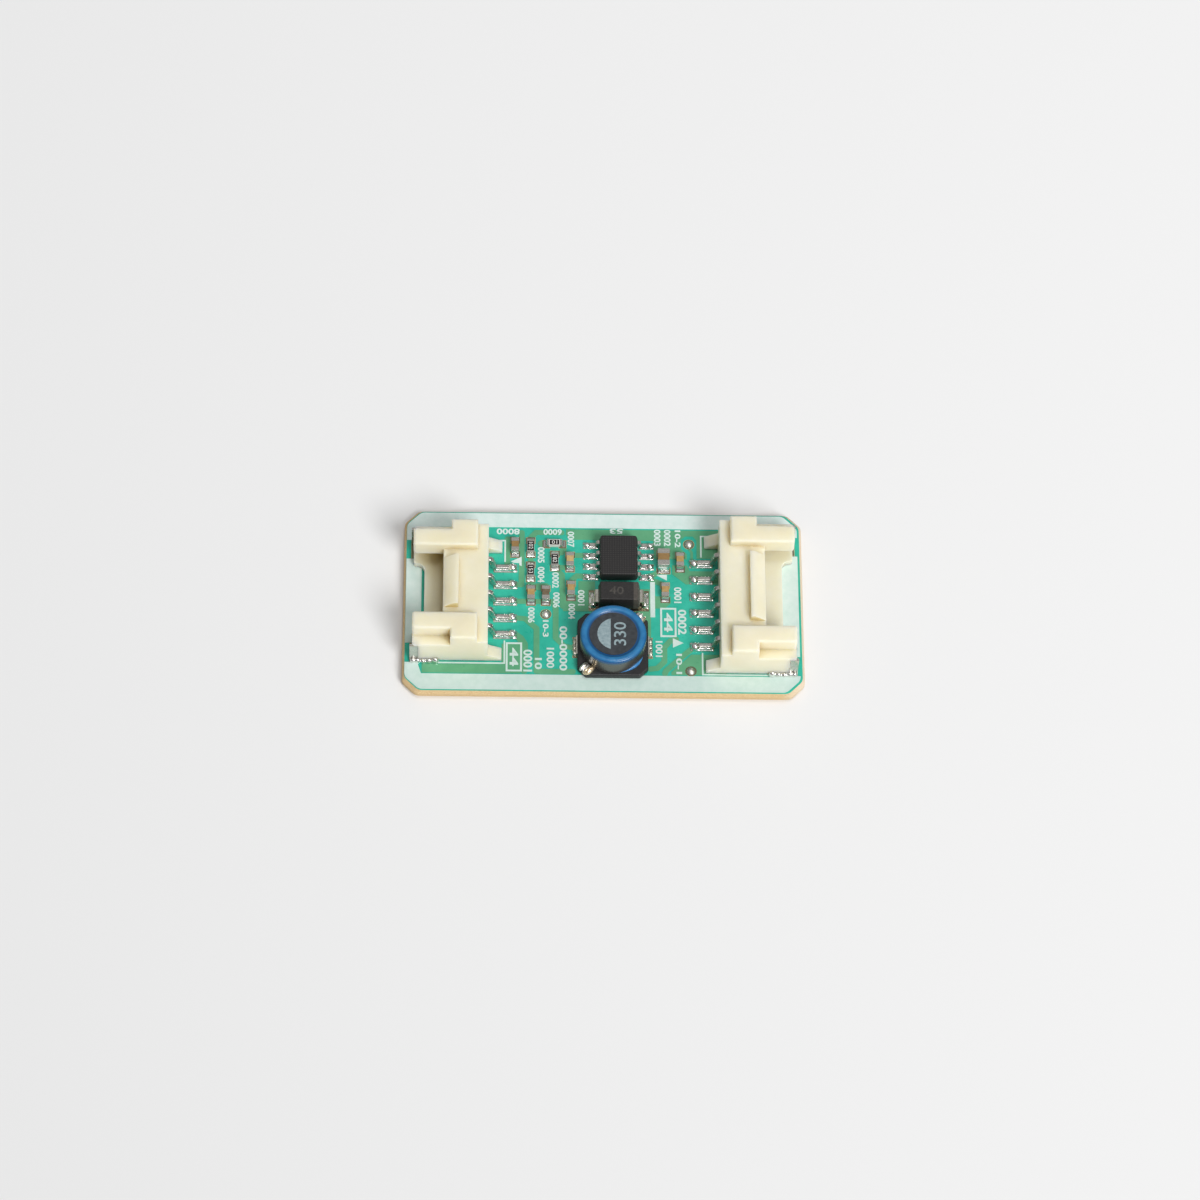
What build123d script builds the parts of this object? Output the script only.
from build123d import *
import os
from math import atan2, copysign, degrees

# Sub circuit board: a single-sided control board with two side-entry wire headers.
# Units are millimetres. The origin is on the underside, at the middle of the board;
# +X runs along the board to the right-hand header, +Y across it, +Z is the component side.

# ---- Driving dimensions --------------------------------------------------------------------
# Laminate panel, snapped out of a scored sheet; its length follows from the two headers
board_width = 22.0
board_thickness = 1.2
corner_cut = 1.5
corner_ease = 1.0
score_width = 0.25
score_depth = 0.4

# Films on top of the laminate
copper_thickness = 0.035
mask_thickness = 0.03
ink_thickness = 0.02
mask_opening_margin = 0.05
ink_edge_margin = 0.12
ink_shift = -0.1
ink_pad_margin = 0.25
ink_nail_gap = 0.5
rear_band = 2.05
front_band = 2.2

# Wire headers: x is measured outwards from the middle of the board, y along the row of pins
header_spacing = 24.2
header_edge_gap = 1.05
pin_pitch = 2.0
left_ways = 5
right_ways = 6
left_header_y = -0.1
right_header_y = -0.3
header_depth = 7.85
header_side_width = 3.15
header_top_height = 3.9
arm_height = 4.9
ledge_height = 3.2
rear_step = 1.1
block_length = 2.8
rail_width = 2.0
roof_length = 4.7
floor_thickness = 0.8
floor_length = 6.7
floor_corner_radius = 0.8
cavity_height = 2.1
cavity_side_width = 1.9
rear_wall_thickness = 1.2
mouth_radius = 0.3
arm_edge_chamfer = 0.15
ridge_setback = 3.1
ridge_top_length = 0.4
ridge_height = 0.9
ridge_side_gap = 1.05
wing_length = 1.45
wing_width = 1.35
wing_root_height = 1.15
wing_tip_height = 0.4

# Header pins and hold-down nails
pin_size = 0.5
pin_hole_clearance = 0.02
pin_axis_height = 1.85
pin_reach = 4.6
pin_foot_length = 1.5
pin_rise_length = 0.45
pin_stub_length = 0.25
pin_bend_radius = 0.3
pin_pad_length = 2.4
pin_pad_width = 0.9
pin_pad_toe = 0.8
pin_pad_corner = 0.1
pin_pool_height = 0.2
pin_dome_diameter = 0.78
pin_dome_height = 0.45
nail_thickness = 0.3
nail_foot_height = 0.3
nail_foot_reach = 0.06
nail_length = 3.0
nail_post_length = 0.85
nail_post_height = 2.9
nail_overhang = 0.25
nail_clearance = 0.02
nail_pad_margin = 0.1
nail_pad_width = 2.2
nail_solder_width = 0.1
nail_solder_height = 0.5

# Eight-lead regulator chip
chip_x = 1.6
chip_y = 4.88
chip_length = 4.95
chip_width = 4.05
chip_height = 1.4
chip_standoff = 0.1
chip_side_draft = 0.12
chip_corner_radius = 0.25
lead_pitch = 1.27
leads_per_side = 4
lead_width = 0.42
lead_thickness = 0.2
lead_span = 6.0
lead_foot_length = 0.6
lead_shoulder = 0.25
lead_exit_height = 0.75
lead_bend_radius = 0.15
lead_pool_height = 0.12
lead_dome_diameter = 0.6
lead_dome_height = 0.35
lead_pad_length = 1.5
lead_pad_width = 0.68
lead_pad_toe = 0.7

# Moulded diode
diode_x = 1.62
diode_y = 0.14
diode_length = 4.35
diode_width = 2.5
diode_height = 2.05
diode_draft = 0.18
tab_width = 1.5
tab_thickness = 0.2
tab_reach = 0.45
tab_foot_length = 0.9
tab_exit_height = 1.0
tab_bend_radius = 0.15
diode_pad_length = 1.9
diode_pad_width = 2.4
diode_pad_toe = 0.5
diode_solder_height = 0.75
diode_solder_width = 1.9

# Shielded power inductor
coil_x = 0.95
coil_y = -5.5
coil_base_size = 7.4
coil_base_height = 0.75
coil_corner_cut = 0.87
shield_diameter = 6.9
shield_bore = 5.2
shield_height = 1.965
rim_height = 0.35
rim_lip_gap = 0.03
rim_outer_ease = 0.28
rim_inner_ease = 0.08
drum_gap = 0.1
drum_recess = 0.08
drum_flange = 0.5
drum_post_diameter = 2.4
winding_diameter = 4.6
winding_clearance = 0.05
strap_width = 2.2
strap_thickness = 0.12
strap_foot_length = 0.35
strap_height = 0.6
coil_pad_length = 1.0
coil_pad_width = 2.4
coil_pad_toe = 0.45
coil_solder_width = 2.0
wire_end_length = 1.3
wire_end_width = 1.1
wire_end_height = 0.5
wire_end_ease = 0.4
wire_end_angle = 226.0
glue_width = 0.3
glue_height = 0.45
glue_start = -72.0
glue_sweep = 44.0

# Chip capacitors and resistors
plating = 0.03
end_plating = 0.06
end_edge_chamfer = 0.05
land_reach = 0.42
land_side_margin = 0.06
land_tuck = 0.3
solder_toe = 0.34
solder_rise = 0.6
solder_side_gap = 0.04
overcoat_thickness = 0.04
test_land_diameter = 1.1
test_solder_diameter = 0.92
test_solder_height = 0.3

# ---- Levels and shared places worked out from the sizes above -------------------------------
pad_top = board_thickness + copper_thickness
ink_top = pad_top + mask_thickness + ink_thickness
header_seat = ink_top
header_rear_x = header_spacing / 2
header_mouth_x = header_rear_x + header_depth
pin_heel_x = header_rear_x - pin_stub_length - pin_rise_length
pin_foot_x = pin_heel_x - pin_foot_length
pin_pad_end_x = pin_foot_x - pin_pad_toe
board_length = 2 * (header_mouth_x + header_edge_gap)
headers = [(left_ways, -1, left_header_y), (right_ways, 1, right_header_y)]
chip_half_span = lead_span / 2

# The layout is drawn for header pads that end at drawn_pad_end, and spreads with the headers
drawn_pad_end = 9.1

# Chip parts: middle of the part, turn about Z (0 = long axis along X) and size class
SMALL = (1.6, 0.8, 0.8)
LARGE = (2.0, 1.25, 1.25)
RESISTOR = (1.6, 0.8, 0.45)
SMALL_CAP_LENGTH = 0.45
LARGE_CAP_LENGTH = 0.6
RESISTOR_CAP_LENGTH = 0.22
capacitors = [
    ((-9.3, 6.5), 90, SMALL, SMALL_CAP_LENGTH),
    ((-3.5, 4.8), 90, SMALL, SMALL_CAP_LENGTH),
    ((-7.6, 0.7), 90, SMALL, SMALL_CAP_LENGTH),
    ((-6.05, 0.7), 90, SMALL, SMALL_CAP_LENGTH),
    ((-3.4, 1.3), 90, SMALL, SMALL_CAP_LENGTH),
    ((8.1, 4.9), 90, SMALL, SMALL_CAP_LENGTH),
    ((6.5, 1.2), 90, SMALL, SMALL_CAP_LENGTH),
    ((6.35, 4.9), 90, LARGE, LARGE_CAP_LENGTH),
]
resistors = [
    ((-7.65, 6.5), 90, RESISTOR, RESISTOR_CAP_LENGTH),
    ((-7.65, 3.55), 90, RESISTOR, RESISTOR_CAP_LENGTH),
    ((-5.1, 4.9), 90, RESISTOR, RESISTOR_CAP_LENGTH),
    ((-5.15, 6.95), 0, RESISTOR, RESISTOR_CAP_LENGTH),
]
coat_margins = [0.03, 0.03, 0.03, 0.09]
test_points = [(9.05, 7.1), (-6.05, -1.55), (9.1, -8.2)]


def on_board(place):
    """Where a place in the layout comes to lie: by the chip it stays, at the headers it moves with them."""
    x, y = place
    side = copysign(1, x)
    chip_edge = chip_x + side * (chip_half_span + lead_pad_toe)
    share = (x - chip_edge) / (side * drawn_pad_end - chip_edge)
    return (x + side * (pin_pad_end_x - drawn_pad_end) * min(max(share, 0), 1), y)


def pin_rows(ways):
    """Distance of each pin from the middle of its header."""
    return [(i - (ways - 1) / 2) * pin_pitch for i in range(ways)]


def finish(piece, name):
    """Name a finished piece and write it out."""
    piece.part.label = name
    export_step(piece.part, f"parts/{name}.step")


os.makedirs("parts", exist_ok=True)


# ---- Laminate panel -------------------------------------------------------------------------
def panel_outline(inset):
    """Draw the board's outline with clipped, eased corners in the open sketch."""
    outline = Rectangle(board_length - 2 * inset, board_width - 2 * inset)
    cut = chamfer(outline.vertices(), corner_cut)
    fillet(cut.vertices(), corner_ease)


with BuildPart() as board_laminate:
    with BuildSketch() as underside:
        panel_outline(score_width)
    with BuildSketch(Plane.XY.offset(score_depth)) as lower_web:
        panel_outline(0)
    loft()
    with BuildSketch(Plane.XY.offset(score_depth)) as web:
        panel_outline(0)
    extrude(amount=board_thickness - 2 * score_depth)
    with BuildSketch(Plane.XY.offset(board_thickness - score_depth)) as upper_web:
        panel_outline(0)
    with BuildSketch(Plane.XY.offset(board_thickness)) as top_side:
        panel_outline(score_width)
    loft()
finish(board_laminate, "board_laminate")


# ---- Copper: tracks, pours and pads ---------------------------------------------------------
def track(points, width):
    """Draw a track of round-ended runs through the points, in the open sketch."""
    for start, end in zip(points, points[1:]):
        run = Vector(*end) - Vector(*start)
        with Locations((Vector(*start) + Vector(*end)) / 2):
            SlotCenterToCenter(run.length, width, rotation=degrees(atan2(run.Y, run.X)))


def header_pin_pads(ways, side, row_y, margin):
    """Draw one header's pin pads; side is -1 on the left, 1 on the right."""
    pad_x = pin_pad_end_x + pin_pad_length / 2
    with Locations(*[(side * pad_x, row_y + y) for y in pin_rows(ways)]):
        RectangleRounded(pin_pad_length + 2 * margin, pin_pad_width + 2 * margin,
                         pin_pad_corner)


def header_nail_pads(ways, side, row_y, margin, reach=0):
    """Draw one header's two nail pads, under its arms; reach lengthens them past the mouth."""
    outer_y = (ways - 1) * pin_pitch / 2 + header_side_width + nail_foot_reach + nail_pad_margin
    pad_x = header_mouth_x + nail_overhang + (reach - nail_length) / 2
    pad_y = outer_y - nail_pad_width / 2
    with Locations(*[(side * pad_x, row_y + turn * pad_y) for turn in (-1, 1)]):
        Rectangle(nail_length + reach + 2 * margin, nail_pad_width + 2 * margin)


def part_pads(margin):
    """Draw the pads of the chip, diode, inductor, chip parts and test points."""
    chip_pad_x = chip_half_span + lead_pad_toe - lead_pad_length / 2
    with Locations((chip_x, chip_y)):
        with GridLocations(2 * chip_pad_x, lead_pitch, 2, leads_per_side):
            Rectangle(lead_pad_length + 2 * margin, lead_pad_width + 2 * margin)
    diode_pad_x = diode_length / 2 + tab_reach + diode_pad_toe - diode_pad_length / 2
    with Locations((diode_x, diode_y)):
        with GridLocations(2 * diode_pad_x, 1, 2, 1):
            Rectangle(diode_pad_length + 2 * margin, diode_pad_width + 2 * margin)
    coil_pad_x = coil_base_size / 2 + coil_pad_toe - coil_pad_length / 2
    with Locations((coil_x, coil_y)):
        with GridLocations(2 * coil_pad_x, 1, 2, 1):
            Rectangle(coil_pad_length + 2 * margin, coil_pad_width + 2 * margin)
    for place, turn, (length, width, _), _ in capacitors + resistors:
        land_length = land_reach + land_tuck
        with Locations(Location((*on_board(place), 0), (0, 0, turn))):
            with GridLocations(length + 2 * land_reach - land_length, 1, 2, 1):
                Rectangle(land_length + 2 * margin, width + 2 * land_side_margin + 2 * margin)
    with Locations(*map(on_board, test_points)):
        Circle(test_land_diameter / 2 + margin)


def all_pads(margin):
    for ways, side, row_y in headers:
        header_pin_pads(ways, side, row_y, margin)
        header_nail_pads(ways, side, row_y, margin)
    part_pads(margin)


track_width = 0.55
wide_track = 0.75
fine_track = 0.22
pour_edge_y = 8.75
tracks = [
    ([(-9.2, 1.95), (-8.6, 1.95), (-8.6, 8.3)], track_width),
    ([(-7.65, 7.1), (-7.65, 7.7), (-7.1, 8.35), (-4.4, 8.35)], track_width),
    ([(-10.1, 3.95), (-10.1, 7.5), (-9.3, 7.5)], track_width),
    ([(-7.65, 5.9), (-7.65, 4.2)], track_width),
    ([(-7.65, 3.0), (-7.65, 1.7), (-6.05, 1.75)], wide_track),
    ([(-9.3, -0.05), (-5.2, -0.05), (-5.0, -0.9), (-5.0, -4.4), (-4.1, -5.4), (-3.0, -5.6)], track_width),
    ([(-9.3, -2.05), (-8.2, -2.15), (-7.0, -3.3), (-7.0, -8.2)], track_width),
    ([(-7.0, -8.4), (-3.2, -8.4)], track_width),
    ([(-9.2, -4.1), (-8.7, -4.5), (-8.3, -5.2), (-8.3, -8.3)], wide_track),
    ([(-5.1, 4.05), (-4.35, 3.2), (-4.25, -0.6)], track_width),
    ([(-5.1, 4.1), (-3.5, 4.1)], track_width),
    ([(-3.4, 2.0), (-3.3, 2.6), (-2.8, 3.1), (-1.7, 3.05)], track_width),
    ([(-3.5, 5.6), (-1.7, 5.6)], track_width),
    ([(-4.3, 6.9), (-4.15, 6.3), (-4.4, 5.9), (-5.1, 5.75)], track_width),
    ([(-6.05, 7.0), (-6.5, 7.0)], wide_track),
    ([(9.1, 7.1), (9.1, 6.5), (9.35, 6.1), (9.35, 4.8)], fine_track),
    ([(7.6, -4.4), (7.0, -4.6), (6.35, -5.4), (6.35, -7.1), (5.6, -7.9), (4.9, -8.0)], track_width),
    ([(9.4, -5.4), (8.6, -6.1), (6.5, -8.2), (6.4, -8.5)], track_width),
    ([(4.4, 3.05), (5.3, 3.3), (6.35, 4.0)], track_width),
    ([(6.5, 2.0), (6.0, 2.3), (5.3, 2.6), (4.4, 3.0)], track_width),
]
pours = [
    [(-3.9, pour_edge_y), (-3.9, 8.1), (-3.2, 7.55), (5.3, 7.5), (5.45, 5.3), (8.8, 5.3),
     (8.8, 5.9), (8.2, 6.5), (8.2, 7.7), (8.7, 8.1), (9.5, 8.1), (9.9, 7.6), (9.9, 5.4),
     (12.8, 5.4), (12.8, pour_edge_y)],
    [(7.3, 4.5), (7.3, 3.45), (8.7, 2.25), (12.8, 2.25), (12.8, 3.8), (9.1, 3.8), (8.8, 4.5)],
    [(-4.2, 0.1), (-4.2, -1.15), (-0.9, -1.15), (-0.9, 2.45), (-2.6, 2.45), (-2.6, 0.8), (-3.8, 0.8)],
    [(3.5, 1.55), (4.85, 1.55), (5.5, 0.7), (7.05, 0.7), (7.05, -0.1), (6.4, -0.7), (5.4, -0.7),
     (4.95, -1.5), (4.95, -4.4), (3.9, -4.4), (3.5, -1.2)],
    [(9.9, -6.25), (12.8, -6.25), (12.8, -8.65), (7.1, -8.65), (7.1, -8.35), (9.2, -6.25)],
    [(-18.9, -7.65), (-10.6, -7.65), (-10.6, -5.2), (-8.7, -5.2), (-8.7, -8.65), (-18.9, -8.65)],
]


def all_copper(growth):
    """Draw every track, pour and pad, each side grown outwards by the same amount."""
    for points, width in tracks:
        track([on_board(point) for point in points], width + 2 * growth)
    for points in pours:
        area = Polygon(*map(on_board, points), align=None)
        if growth:
            offset(area, amount=growth, mode=Mode.ADD)
    all_pads(growth)


with BuildPart() as copper_tracks:
    with BuildSketch(Plane.XY.offset(board_thickness)):
        all_copper(0)
    extrude(amount=copper_thickness)
finish(copper_tracks, "copper_tracks")


# ---- Solder mask: a film that rises over the copper and opens at the pads --------------------
with BuildPart() as solder_mask:
    with BuildSketch(Plane.XY.offset(board_thickness)):
        panel_outline(score_width)
    extrude(amount=mask_thickness)
    with BuildSketch(Plane.XY.offset(board_thickness)):
        all_copper(mask_thickness)
    extrude(amount=copper_thickness + mask_thickness)
    add(copper_tracks.part, mode=Mode.SUBTRACT)
    with BuildSketch(Plane.XY.offset(board_thickness)):
        all_pads(mask_opening_margin)
    extrude(amount=copper_thickness + mask_thickness, mode=Mode.SUBTRACT)
finish(solder_mask, "solder_mask")


# ---- Printed ink: bands round the edge, header outlines, frames and marks --------------------
window_rear_y = board_width / 2 - rear_band
window_front_y = front_band - board_width / 2
ink_window = [(-18.55, window_rear_y), (18.45, window_rear_y), (18.45, window_front_y),
              (-19.0, window_front_y), (-19.35, window_front_y + 1.1),
              (-19.1, window_front_y + 1.3), (-19.1, window_rear_y - 0.25)]
ink_line = 0.16
ink_strokes = [
    ((-10.35, 5.975), (ink_line, 2.55)),
    ((-10.35, -6.15), (ink_line, 2.7)),
    ((-14.6, -7.49), (8.66, ink_line)),
    ((-14.6, 7.3), (8.66, ink_line)),
    ((10.33, 6.825), (ink_line, 2.65)),
    ((10.33, -7.34), (ink_line, 2.67)),
    ((14.3, -8.6), (8.1, ink_line)),
    ((14.3, 8.08), (8.1, ink_line)),
    ((5.18, 0.33), (0.5, 4.25)),
]
ink_frames = [((6.8, -2.4), (1.7, 3.5)), ((-9.35, -6.73), (1.7, 3.45))]
frame_line = 0.2
ink_arrows = [
    [(-9.75, 4.75), (-8.6, 5.35), (-8.6, 4.2)],
    [(7.25, -4.3), (7.25, -5.4), (8.35, -4.85)],
    [(5.6, 3.3), (6.7, 3.35), (6.7, 2.65)],
]

with BuildPart() as silkscreen_print:
    with BuildSketch(Plane.XY.offset(board_thickness + mask_thickness)):
        with Locations((ink_shift, 0)):
            panel_outline(score_width + ink_edge_margin)
        Polygon(*map(on_board, ink_window), align=None, mode=Mode.SUBTRACT)
        for centre, (length, width) in ink_strokes:
            with Locations(on_board(centre)):
                Rectangle(length, width)
        for centre, (length, width) in ink_frames:
            with Locations(on_board(centre)):
                Rectangle(length, width)
                Rectangle(length - 2 * frame_line, width - 2 * frame_line, mode=Mode.SUBTRACT)
        for points in ink_arrows:
            Polygon(*map(on_board, points), align=None)
    extrude(amount=copper_thickness + ink_thickness)
    add([solder_mask.part, copper_tracks.part], mode=Mode.SUBTRACT)
    with BuildSketch(Plane.XY.offset(board_thickness)):
        for ways, side, row_y in headers:
            header_pin_pads(ways, side, row_y, ink_pad_margin)
            header_nail_pads(ways, side, row_y, mask_opening_margin, ink_nail_gap)
        part_pads(mask_opening_margin)
    extrude(amount=copper_thickness + mask_thickness + ink_thickness, mode=Mode.SUBTRACT)
finish(silkscreen_print, "silkscreen_print")


# ---- Header housing: one moulding, drawn for the right-hand header, standing on z = 0 --------
def header_housing(ways):
    gap_half = (ways - 1) * pin_pitch / 2
    half_width = gap_half + header_side_width
    roof_x = header_rear_x + roof_length
    block_x = header_rear_x + rear_step
    nail_x = header_mouth_x + nail_overhang - nail_length - nail_clearance
    post_x = header_mouth_x + nail_overhang - nail_post_length - nail_clearance
    slot_depth = nail_thickness + nail_clearance
    with BuildPart() as housing:
        # Floor, with a rounded notch between the arms' feet
        middle_x = header_rear_x + header_depth / 2
        notch_x = header_rear_x + floor_length
        notch_length = header_mouth_x + 2 * floor_corner_radius - notch_x
        with BuildSketch() as floor_plan:
            with Locations((middle_x, 0)):
                Rectangle(header_depth, 2 * half_width)
            with Locations((notch_x + notch_length / 2, 0)):
                RectangleRounded(notch_length, 2 * gap_half, floor_corner_radius, mode=Mode.SUBTRACT)
            fillet(floor_plan.vertices().group_by(Axis.X)[-1], mouth_radius)
        extrude(amount=floor_thickness)
        # Body and arms, as high as the ledges outside, with the latch window between the arms
        window_length = header_mouth_x - roof_x
        with BuildSketch(Plane.XY.offset(floor_thickness)) as side_plan:
            with Locations((middle_x, 0)):
                Rectangle(header_depth, 2 * half_width)
            with Locations((roof_x + window_length / 2, 0)):
                Rectangle(window_length, 2 * gap_half, mode=Mode.SUBTRACT)
            fillet(side_plan.vertices().group_by(Axis.X)[-1], mouth_radius)
        extrude(amount=ledge_height - floor_thickness)
        # Top wall between the arms and the low strip along the back
        with BuildSketch(Plane.XY.offset(ledge_height)):
            with Locations((header_rear_x + roof_length / 2, 0)):
                Rectangle(roof_length, 2 * gap_half)
            with Locations((header_rear_x + rear_step / 2, 0)):
                Rectangle(rear_step, 2 * half_width)
        extrude(amount=header_top_height - ledge_height)
        # Raised blocks over the arms' roots and the rails that run on to the mouth
        rail_length = header_depth - rear_step
        with BuildSketch(Plane.XY.offset(ledge_height)) as arm_plan:
            with Locations((block_x + block_length / 2, 0)):
                with GridLocations(1, 2 * gap_half + header_side_width, 1, 2):
                    Rectangle(block_length, header_side_width)
            with Locations((block_x + rail_length / 2, 0)):
                with GridLocations(1, 2 * gap_half + rail_width, 1, 2):
                    Rectangle(rail_length, rail_width)
            fillet(arm_plan.vertices().group_by(Axis.X)[-1], mouth_radius)
        extrude(amount=arm_height - ledge_height)
        chamfer(housing.faces().filter_by(Axis.Z).sort_by(Axis.Z)[-2:].edges(), arm_edge_chamfer)
        # Lock ridge: upright at the back, sloping down to the edge of the window
        ridge_x = header_rear_x + ridge_setback
        ridge_top = header_top_height + ridge_height
        with BuildSketch(Plane.XZ):
            Polygon((ridge_x, header_top_height), (ridge_x, ridge_top),
                    (ridge_x + ridge_top_length, ridge_top), (roof_x, header_top_height), align=None)
        extrude(amount=gap_half - ridge_side_gap, both=True)
        # Wings that steady the housing behind the rear wall
        for side in (-1, 1):
            with BuildSketch(Plane.XZ.offset(side * half_width)):
                Polygon((header_rear_x, 0), (header_rear_x, wing_root_height),
                        (header_rear_x - wing_length, wing_tip_height),
                        (header_rear_x - wing_length, 0), align=None)
            extrude(amount=-side * wing_width)
        # Socket for the plug, open at the mouth
        socket_x = header_rear_x + rear_wall_thickness
        with BuildSketch(Plane.XY.offset(floor_thickness)):
            with Locations(((socket_x + header_mouth_x) / 2, 0)):
                Rectangle(header_mouth_x - socket_x, 2 * (gap_half + cavity_side_width))
        extrude(amount=cavity_height, mode=Mode.SUBTRACT)
        # Pin holes in the rear wall
        hole = pin_size + 2 * pin_hole_clearance
        with BuildSketch(Plane.YZ.offset(header_rear_x)):
            with Locations(*[(y, pin_axis_height) for y in pin_rows(ways)]):
                Rectangle(hole, hole)
        extrude(amount=rear_wall_thickness, mode=Mode.SUBTRACT)
        # Slots for the hold-down nails at the outer front corners
        with BuildSketch():
            with Locations(((nail_x + header_mouth_x) / 2, 0)):
                with GridLocations(1, 2 * half_width, 1, 2):
                    Rectangle(header_mouth_x - nail_x, 2 * slot_depth)
        extrude(amount=nail_foot_height + nail_clearance, mode=Mode.SUBTRACT)
        with BuildSketch():
            with Locations(((post_x + header_mouth_x) / 2, 0)):
                with GridLocations(1, 2 * half_width, 1, 2):
                    Rectangle(header_mouth_x - post_x, 2 * slot_depth)
        extrude(amount=nail_post_height + nail_clearance, mode=Mode.SUBTRACT)
    return housing.part


def header_pins(ways):
    """The row of bent square pins, in the housing's own frame."""
    foot_z = pad_top - header_seat + pin_size / 2
    with BuildPart() as pin:
        with BuildLine(Plane.XZ) as bend:
            FilletPolyline((pin_foot_x, foot_z), (pin_heel_x, foot_z),
                           (header_rear_x - pin_stub_length, pin_axis_height),
                           (header_rear_x + pin_reach, pin_axis_height), radius=pin_bend_radius)
        with BuildSketch(Plane(bend.line @ 0, z_dir=bend.line % 0)):
            Rectangle(pin_size, pin_size)
        sweep()
    with BuildPart() as row:
        with Locations(*[(0, y, 0) for y in pin_rows(ways)]):
            add(pin.part)
    return row.part


def header_nails(ways):
    """The two hold-down nails: a foot along the wall and a post in the corner slot."""
    half_width = (ways - 1) * pin_pitch / 2 + header_side_width
    nail_end_x = header_mouth_x + nail_overhang
    foot_bottom = pad_top - header_seat
    with BuildPart() as nails:
        with BuildSketch(Plane.XY.offset(foot_bottom)):
            with Locations((nail_end_x - nail_length / 2, 0)):
                foot_y = half_width + (nail_foot_reach - nail_thickness) / 2
                with GridLocations(1, 2 * foot_y, 1, 2):
                    Rectangle(nail_length, nail_thickness + nail_foot_reach)
        extrude(amount=nail_foot_height - foot_bottom)
        with BuildSketch(Plane.XY.offset(nail_foot_height)):
            with Locations((nail_end_x - nail_post_length / 2, 0)):
                with GridLocations(1, 2 * half_width - nail_thickness, 1, 2):
                    Rectangle(nail_post_length, nail_thickness)
        extrude(amount=nail_post_height - nail_foot_height)
    return nails.part


# ---- Solder shapes ---------------------------------------------------------------------------
def solder_dome(diameter, height):
    """A rounded drop of solder standing on z = 0: the cap of a sphere."""
    with BuildPart() as dome:
        with BuildSketch(Plane.XZ):
            with BuildLine():
                Line((0, height), (0, 0))
                Line((0, 0), (diameter / 2, 0))
                TangentArc((0, height), (diameter / 2, 0), tangent=(1, 0))
            make_face()
        revolve(axis=Axis.Z)
    return dome.part


def solder_joint(pad_length, pad_width, pool_height, dome_diameter, dome_height):
    """Solder on one pad: a low sloped pool and a drop at the pad's inner end, on z = 0."""
    with BuildPart() as joint:
        with BuildSketch():
            Rectangle(pad_length, pad_width)
        extrude(amount=pool_height, taper=45)
        with Locations(((dome_diameter - pad_length) / 2, 0, 0)):
            add(solder_dome(dome_diameter, dome_height))
    return joint.part


def header_pin_solder(ways, pins):
    pad_x = pin_pad_end_x + pin_pad_length / 2
    joint = solder_joint(pin_pad_length, pin_pad_width, pin_pool_height, pin_dome_diameter,
                         pin_dome_height)
    with BuildPart() as solder:
        with Locations(*[(pad_x, y, pad_top - header_seat) for y in pin_rows(ways)]):
            add(joint)
        add(pins, mode=Mode.SUBTRACT)
    return solder.part


def header_nail_solder(ways):
    """A sloped fillet of solder along the outside of each nail's foot."""
    foot_y = (ways - 1) * pin_pitch / 2 + header_side_width + nail_foot_reach
    foot_bottom = pad_top - header_seat
    with BuildPart() as solder:
        for side in (-1, 1):
            with BuildSketch(Plane.YZ.offset(header_mouth_x + nail_overhang - nail_length)):
                Polygon((side * foot_y, foot_bottom),
                        (side * (foot_y + nail_solder_width), foot_bottom),
                        (side * foot_y, foot_bottom + nail_solder_height), align=None)
            extrude(amount=nail_length)
    return solder.part


def place_header(piece, side, row_y, name):
    """Stand a header piece on the board, on the right (side 1) or turned over to the left (-1)."""
    with BuildPart() as placed:
        with Locations((0, row_y, header_seat)):
            add(piece)
        if side < 0:
            mirror(about=Plane.YZ, mode=Mode.REPLACE)
    finish(placed, name)


for name, (ways, side, row_y) in zip(("left", "right"), headers):
    pins = header_pins(ways)
    place_header(header_housing(ways), side, row_y, f"{name}_header_housing")
    place_header(pins, side, row_y, f"{name}_header_pins")
    place_header(header_nails(ways), side, row_y, f"{name}_header_nails")
    place_header(header_pin_solder(ways, pins), side, row_y, f"{name}_header_pin_solder")
    place_header(header_nail_solder(ways), side, row_y, f"{name}_header_nail_solder")


# ---- Regulator chip --------------------------------------------------------------------------
chip_bottom = ink_top + chip_standoff
lead_exit_z = pad_top + lead_exit_height
lead_places = [
    Location((chip_x, chip_y + (i - (leads_per_side - 1) / 2) * lead_pitch, 0), (0, 0, turn))
    for turn in (0, 180) for i in range(leads_per_side)
]

with BuildPart() as regulator_body:
    for z, draft in ((chip_bottom, chip_side_draft), (lead_exit_z, 0),
                     (chip_bottom + chip_height, chip_side_draft)):
        with BuildSketch(Plane.XY.offset(z)):
            with Locations((chip_x, chip_y)):
                RectangleRounded(chip_width - 2 * draft, chip_length - 2 * draft, chip_corner_radius)
    loft(ruled=True)
finish(regulator_body, "regulator_body")

with BuildPart() as gull_wing_lead:
    with BuildLine(Plane.XZ) as lead_bend:
        FilletPolyline((chip_width / 2, lead_exit_z), (chip_width / 2 + lead_shoulder, lead_exit_z),
                       (chip_half_span - lead_foot_length, pad_top + lead_thickness / 2),
                       (chip_half_span, pad_top + lead_thickness / 2), radius=lead_bend_radius)
    with BuildSketch(Plane(lead_bend.line @ 0, x_dir=(0, 1, 0), z_dir=lead_bend.line % 0)):
        Rectangle(lead_width, lead_thickness)
    sweep()

with BuildPart() as regulator_leads:
    with Locations(*lead_places):
        add(gull_wing_lead.part)
finish(regulator_leads, "regulator_leads")

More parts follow.
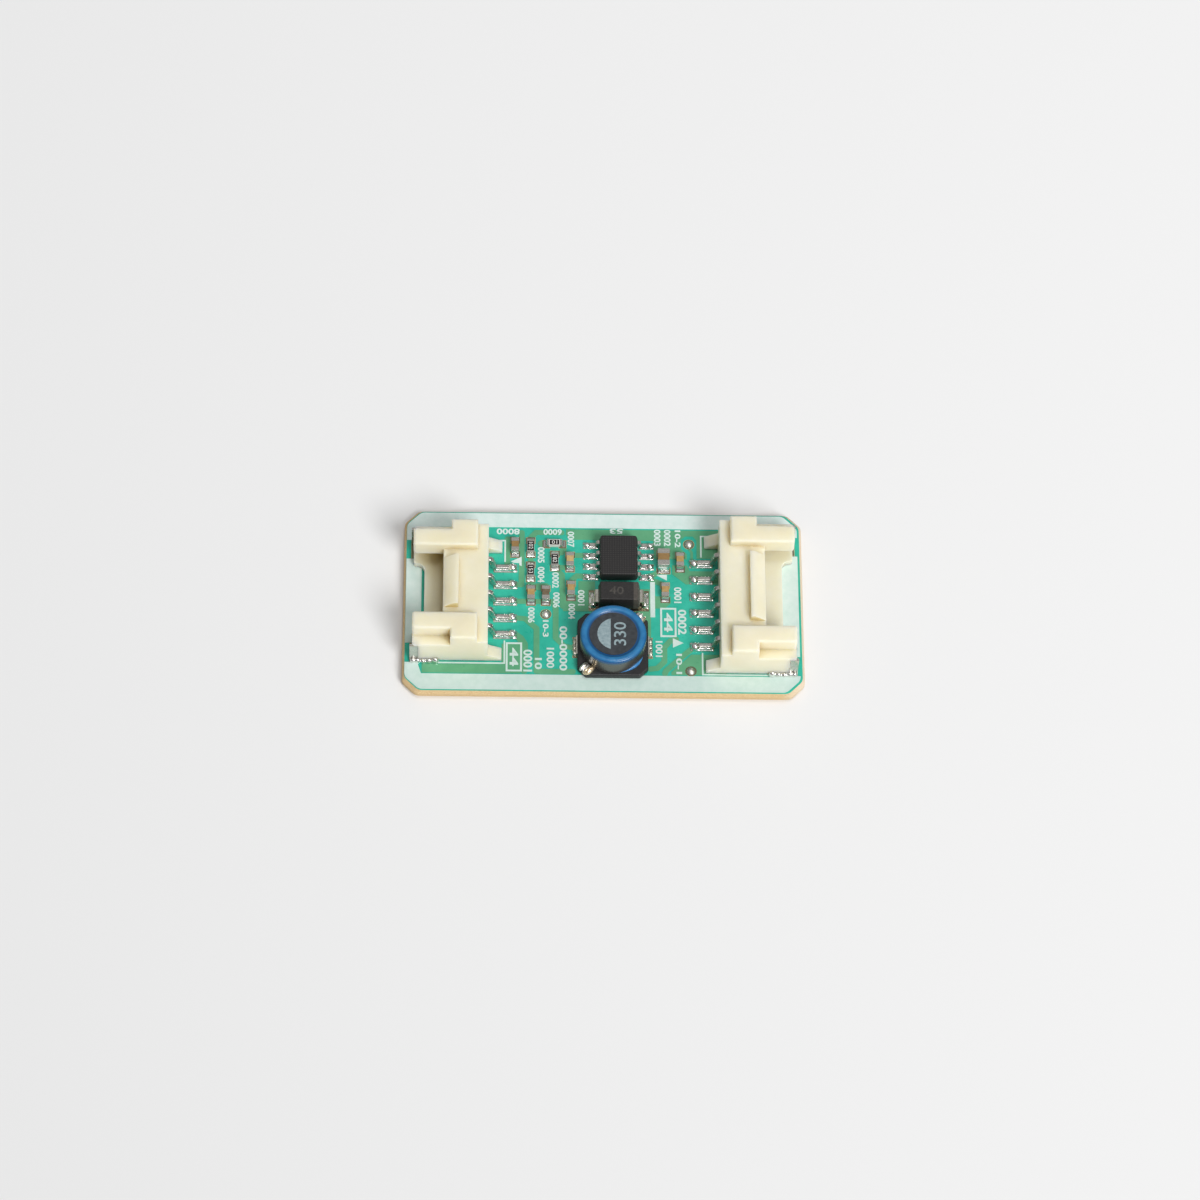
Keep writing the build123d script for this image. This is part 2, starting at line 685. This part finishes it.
lead_joint = solder_joint(lead_pad_length, lead_pad_width, lead_pool_height, lead_dome_diameter,
                          lead_dome_height)
lead_pad_x = chip_half_span + lead_pad_toe - lead_pad_length / 2
with BuildPart() as regulator_solder:
    with Locations(*[place * Location((lead_pad_x, 0, pad_top), (0, 0, 180)) for place in lead_places]):
        add(lead_joint)
    add(regulator_leads.part, mode=Mode.SUBTRACT)
finish(regulator_solder, "regulator_solder")


# ---- Moulded diode ---------------------------------------------------------------------------
diode_bottom = pad_top + tab_thickness
tab_exit_z = pad_top + tab_exit_height
tab_end_x = diode_length / 2 + tab_reach
diode_ends = [Location((diode_x, diode_y, 0), (0, 0, turn)) for turn in (0, 180)]

with BuildPart() as diode_body:
    for z, draft in ((diode_bottom, diode_draft), (tab_exit_z, 0),
                     (diode_bottom + diode_height, diode_draft)):
        with BuildSketch(Plane.XY.offset(z)):
            with Locations((diode_x, diode_y)):
                Rectangle(diode_length - 2 * draft, diode_width - 2 * draft)
    loft(ruled=True)
finish(diode_body, "diode_body")

with BuildPart() as diode_tab:
    with BuildLine(Plane.XZ) as tab_bend:
        FilletPolyline((diode_length / 2, tab_exit_z), (tab_end_x - tab_thickness / 2, tab_exit_z),
                       (tab_end_x - tab_thickness / 2, pad_top + tab_thickness / 2),
                       (tab_end_x - tab_foot_length, pad_top + tab_thickness / 2),
                       radius=tab_bend_radius)
    with BuildSketch(Plane(tab_bend.line @ 0, x_dir=(0, 1, 0), z_dir=tab_bend.line % 0)):
        Rectangle(tab_width, tab_thickness)
    sweep()

with BuildPart() as diode_terminals:
    with Locations(*diode_ends):
        add(diode_tab.part)
finish(diode_terminals, "diode_terminals")


def toe_fillet(start_x, reach, rise, width):
    """A wedge of solder outside an upright face at start_x, on the pads' level."""
    with BuildPart() as wedge:
        with BuildSketch(Plane.XZ):
            Polygon((start_x, pad_top), (start_x + reach, pad_top), (start_x, pad_top + rise), align=None)
        extrude(amount=width / 2, both=True)
    return wedge.part


with BuildPart() as diode_solder:
    with Locations(*diode_ends):
        add(toe_fillet(tab_end_x, diode_pad_toe, diode_solder_height, diode_solder_width))
finish(diode_solder, "diode_solder")


# ---- Shielded power inductor -----------------------------------------------------------------
coil_base_top = ink_top + coil_base_height
shield_top = coil_base_top + shield_height
drum_radius = shield_bore / 2 - drum_gap
coil_place = (coil_x, coil_y)
coil_half_turns = [Location((coil_x, coil_y, 0), (0, 0, turn)) for turn in (0, 180)]

with BuildPart() as inductor_base:
    with BuildSketch(Plane.XY.offset(ink_top)):
        with Locations(coil_place):
            footprint = Rectangle(coil_base_size, coil_base_size)
        chamfer(footprint.vertices(), coil_corner_cut)
    extrude(amount=coil_base_height)
finish(inductor_base, "inductor_base")

with BuildPart() as inductor_shield_ring:
    with BuildSketch(Plane.XY.offset(coil_base_top)):
        with Locations(coil_place):
            Circle(shield_diameter / 2)
            Circle(shield_bore / 2, mode=Mode.SUBTRACT)
    extrude(amount=shield_height)
finish(inductor_shield_ring, "inductor_shield_ring")

with BuildPart() as inductor_rim_coat:
    with BuildSketch(Plane.XY.offset(shield_top)):
        with Locations(coil_place):
            Circle(shield_diameter / 2)
            Circle(drum_radius + rim_lip_gap, mode=Mode.SUBTRACT)
    extrude(amount=rim_height)
    rim_edges = inductor_rim_coat.faces().sort_by(Axis.Z)[-1].edges().sort_by(SortBy.RADIUS)
    fillet(rim_edges[-1], rim_outer_ease)
    fillet(inductor_rim_coat.faces().sort_by(Axis.Z)[-1].edges().sort_by(SortBy.RADIUS)[0], rim_inner_ease)
finish(inductor_rim_coat, "inductor_rim_coat")

drum_top = shield_top + rim_height - drum_recess
with BuildPart() as inductor_drum_core:
    with BuildSketch(Plane.XY.offset(coil_base_top)):
        with Locations(coil_place):
            Circle(drum_radius)
    extrude(amount=drum_flange)
    with BuildSketch(Plane.XY.offset(coil_base_top + drum_flange)):
        with Locations(coil_place):
            Circle(drum_post_diameter / 2)
    extrude(amount=drum_top - coil_base_top - 2 * drum_flange)
    with BuildSketch(Plane.XY.offset(drum_top - drum_flange)):
        with Locations(coil_place):
            Circle(drum_radius)
    extrude(amount=drum_flange)
finish(inductor_drum_core, "inductor_drum_core")

with BuildPart() as inductor_winding:
    with BuildSketch(Plane.XY.offset(coil_base_top + drum_flange + winding_clearance)):
        with Locations(coil_place):
            Circle(winding_diameter / 2)
            Circle(drum_post_diameter / 2 + winding_clearance, mode=Mode.SUBTRACT)
    extrude(amount=drum_top - coil_base_top - 2 * drum_flange - 2 * winding_clearance)
finish(inductor_winding, "inductor_winding")

coil_side_x = coil_base_size / 2
with BuildPart() as inductor_terminals:
    for place in coil_half_turns:
        with BuildSketch(Plane(place) * Plane.XZ):
            Polygon((coil_side_x, pad_top), (coil_side_x + strap_foot_length, pad_top),
                    (coil_side_x + strap_foot_length, pad_top + strap_thickness),
                    (coil_side_x + strap_thickness, pad_top + strap_thickness),
                    (coil_side_x + strap_thickness, pad_top + strap_height),
                    (coil_side_x, pad_top + strap_height), align=None)
        extrude(amount=strap_width / 2, both=True)
finish(inductor_terminals, "inductor_terminals")

with BuildPart() as inductor_solder:
    with Locations(*coil_half_turns):
        add(toe_fillet(coil_side_x + strap_foot_length, coil_pad_toe - strap_foot_length,
                       strap_thickness, coil_solder_width))
finish(inductor_solder, "inductor_solder")

with BuildPart() as inductor_wire_ends:
    with BuildSketch(Plane.XY.offset(coil_base_top)):
        with Locations(coil_place):
            with PolarLocations(shield_diameter / 2 + wire_end_length / 2, 2, wire_end_angle):
                SlotOverall(wire_end_length, wire_end_width)
    extrude(amount=wire_end_height)
    fillet(inductor_wire_ends.faces().filter_by(Axis.Z).sort_by(Axis.Z)[-2:].edges(), wire_end_ease)
finish(inductor_wire_ends, "inductor_wire_ends")

with BuildPart() as inductor_glue:
    with BuildSketch(Plane((coil_x, coil_y, coil_base_top), x_dir=Vector(1, 0, 0).rotate(Axis.Z, glue_start),
                           z_dir=Vector(0, -1, 0).rotate(Axis.Z, glue_start))):
        Polygon((shield_diameter / 2, 0), (shield_diameter / 2 + glue_width, 0),
                (shield_diameter / 2, glue_height), align=None)
    revolve(axis=Axis((coil_x, coil_y, 0), (0, 0, 1)), revolution_arc=glue_sweep)
finish(inductor_glue, "inductor_glue")


# ---- Chip capacitors and resistors -----------------------------------------------------------
def chip_core(length, width, height):
    """The ceramic of a chip part, inside its plating, with its long axis along X."""
    with BuildPart() as core:
        with BuildSketch(Plane.XY.offset(pad_top + plating)):
            Rectangle(length - 2 * end_plating, width - 2 * plating)
        extrude(amount=height - 2 * plating)
    return core.part


def chip_end_caps(length, width, height, cap_length):
    """The two plated ends of a chip part."""
    with BuildPart() as caps:
        with BuildSketch(Plane.XY.offset(pad_top)):
            with GridLocations(length - cap_length, 1, 2, 1):
                Rectangle(cap_length, width)
        extrude(amount=height)
        outer_faces = caps.faces().filter_by(Axis.X).sort_by(Axis.X)
        chamfer(outer_faces[0].edges() + outer_faces[-1].edges(), end_edge_chamfer)
        add(chip_core(length, width, height), mode=Mode.SUBTRACT)
    return caps.part


def place_chip(piece, place, turn, name):
    with BuildPart() as placed:
        with Locations(Location((*on_board(place), 0), (0, 0, turn))):
            add(piece)
    finish(placed, name)


for number, (place, turn, size, cap_length) in enumerate(capacitors, start=1):
    place_chip(chip_core(*size), place, turn, f"capacitor_{number}_block")
    place_chip(chip_end_caps(*size, cap_length), place, turn, f"capacitor_{number}_ends")

for number, (place, turn, size, cap_length) in enumerate(resistors, start=1):
    length, width, height = size
    with BuildPart() as overcoat:
        with BuildSketch(Plane.XY.offset(pad_top + height - plating)):
            coat_margin = coat_margins[number - 1]
            Rectangle(length - 2 * cap_length - 2 * coat_margin, width - 2 * plating - 2 * coat_margin)
        extrude(amount=overcoat_thickness)
    place_chip(chip_core(*size), place, turn, f"resistor_{number}_ceramic")
    place_chip(overcoat.part, place, turn, f"resistor_{number}_coat")
    place_chip(chip_end_caps(*size, cap_length), place, turn, f"resistor_{number}_ends")

with BuildPart() as chip_part_solder:
    for place, turn, (length, width, height), _ in capacitors + resistors:
        fillet_piece = toe_fillet(length / 2, solder_toe, solder_rise * height, width - 2 * solder_side_gap)
        with Locations(*[Location((*on_board(place), 0), (0, 0, turn + half)) for half in (0, 180)]):
            add(fillet_piece)
finish(chip_part_solder, "chip_part_solder")

with BuildPart() as test_point_solder:
    with Locations(*[(*on_board(place), pad_top) for place in test_points]):
        add(solder_dome(test_solder_diameter, test_solder_height))
finish(test_point_solder, "test_point_solder")
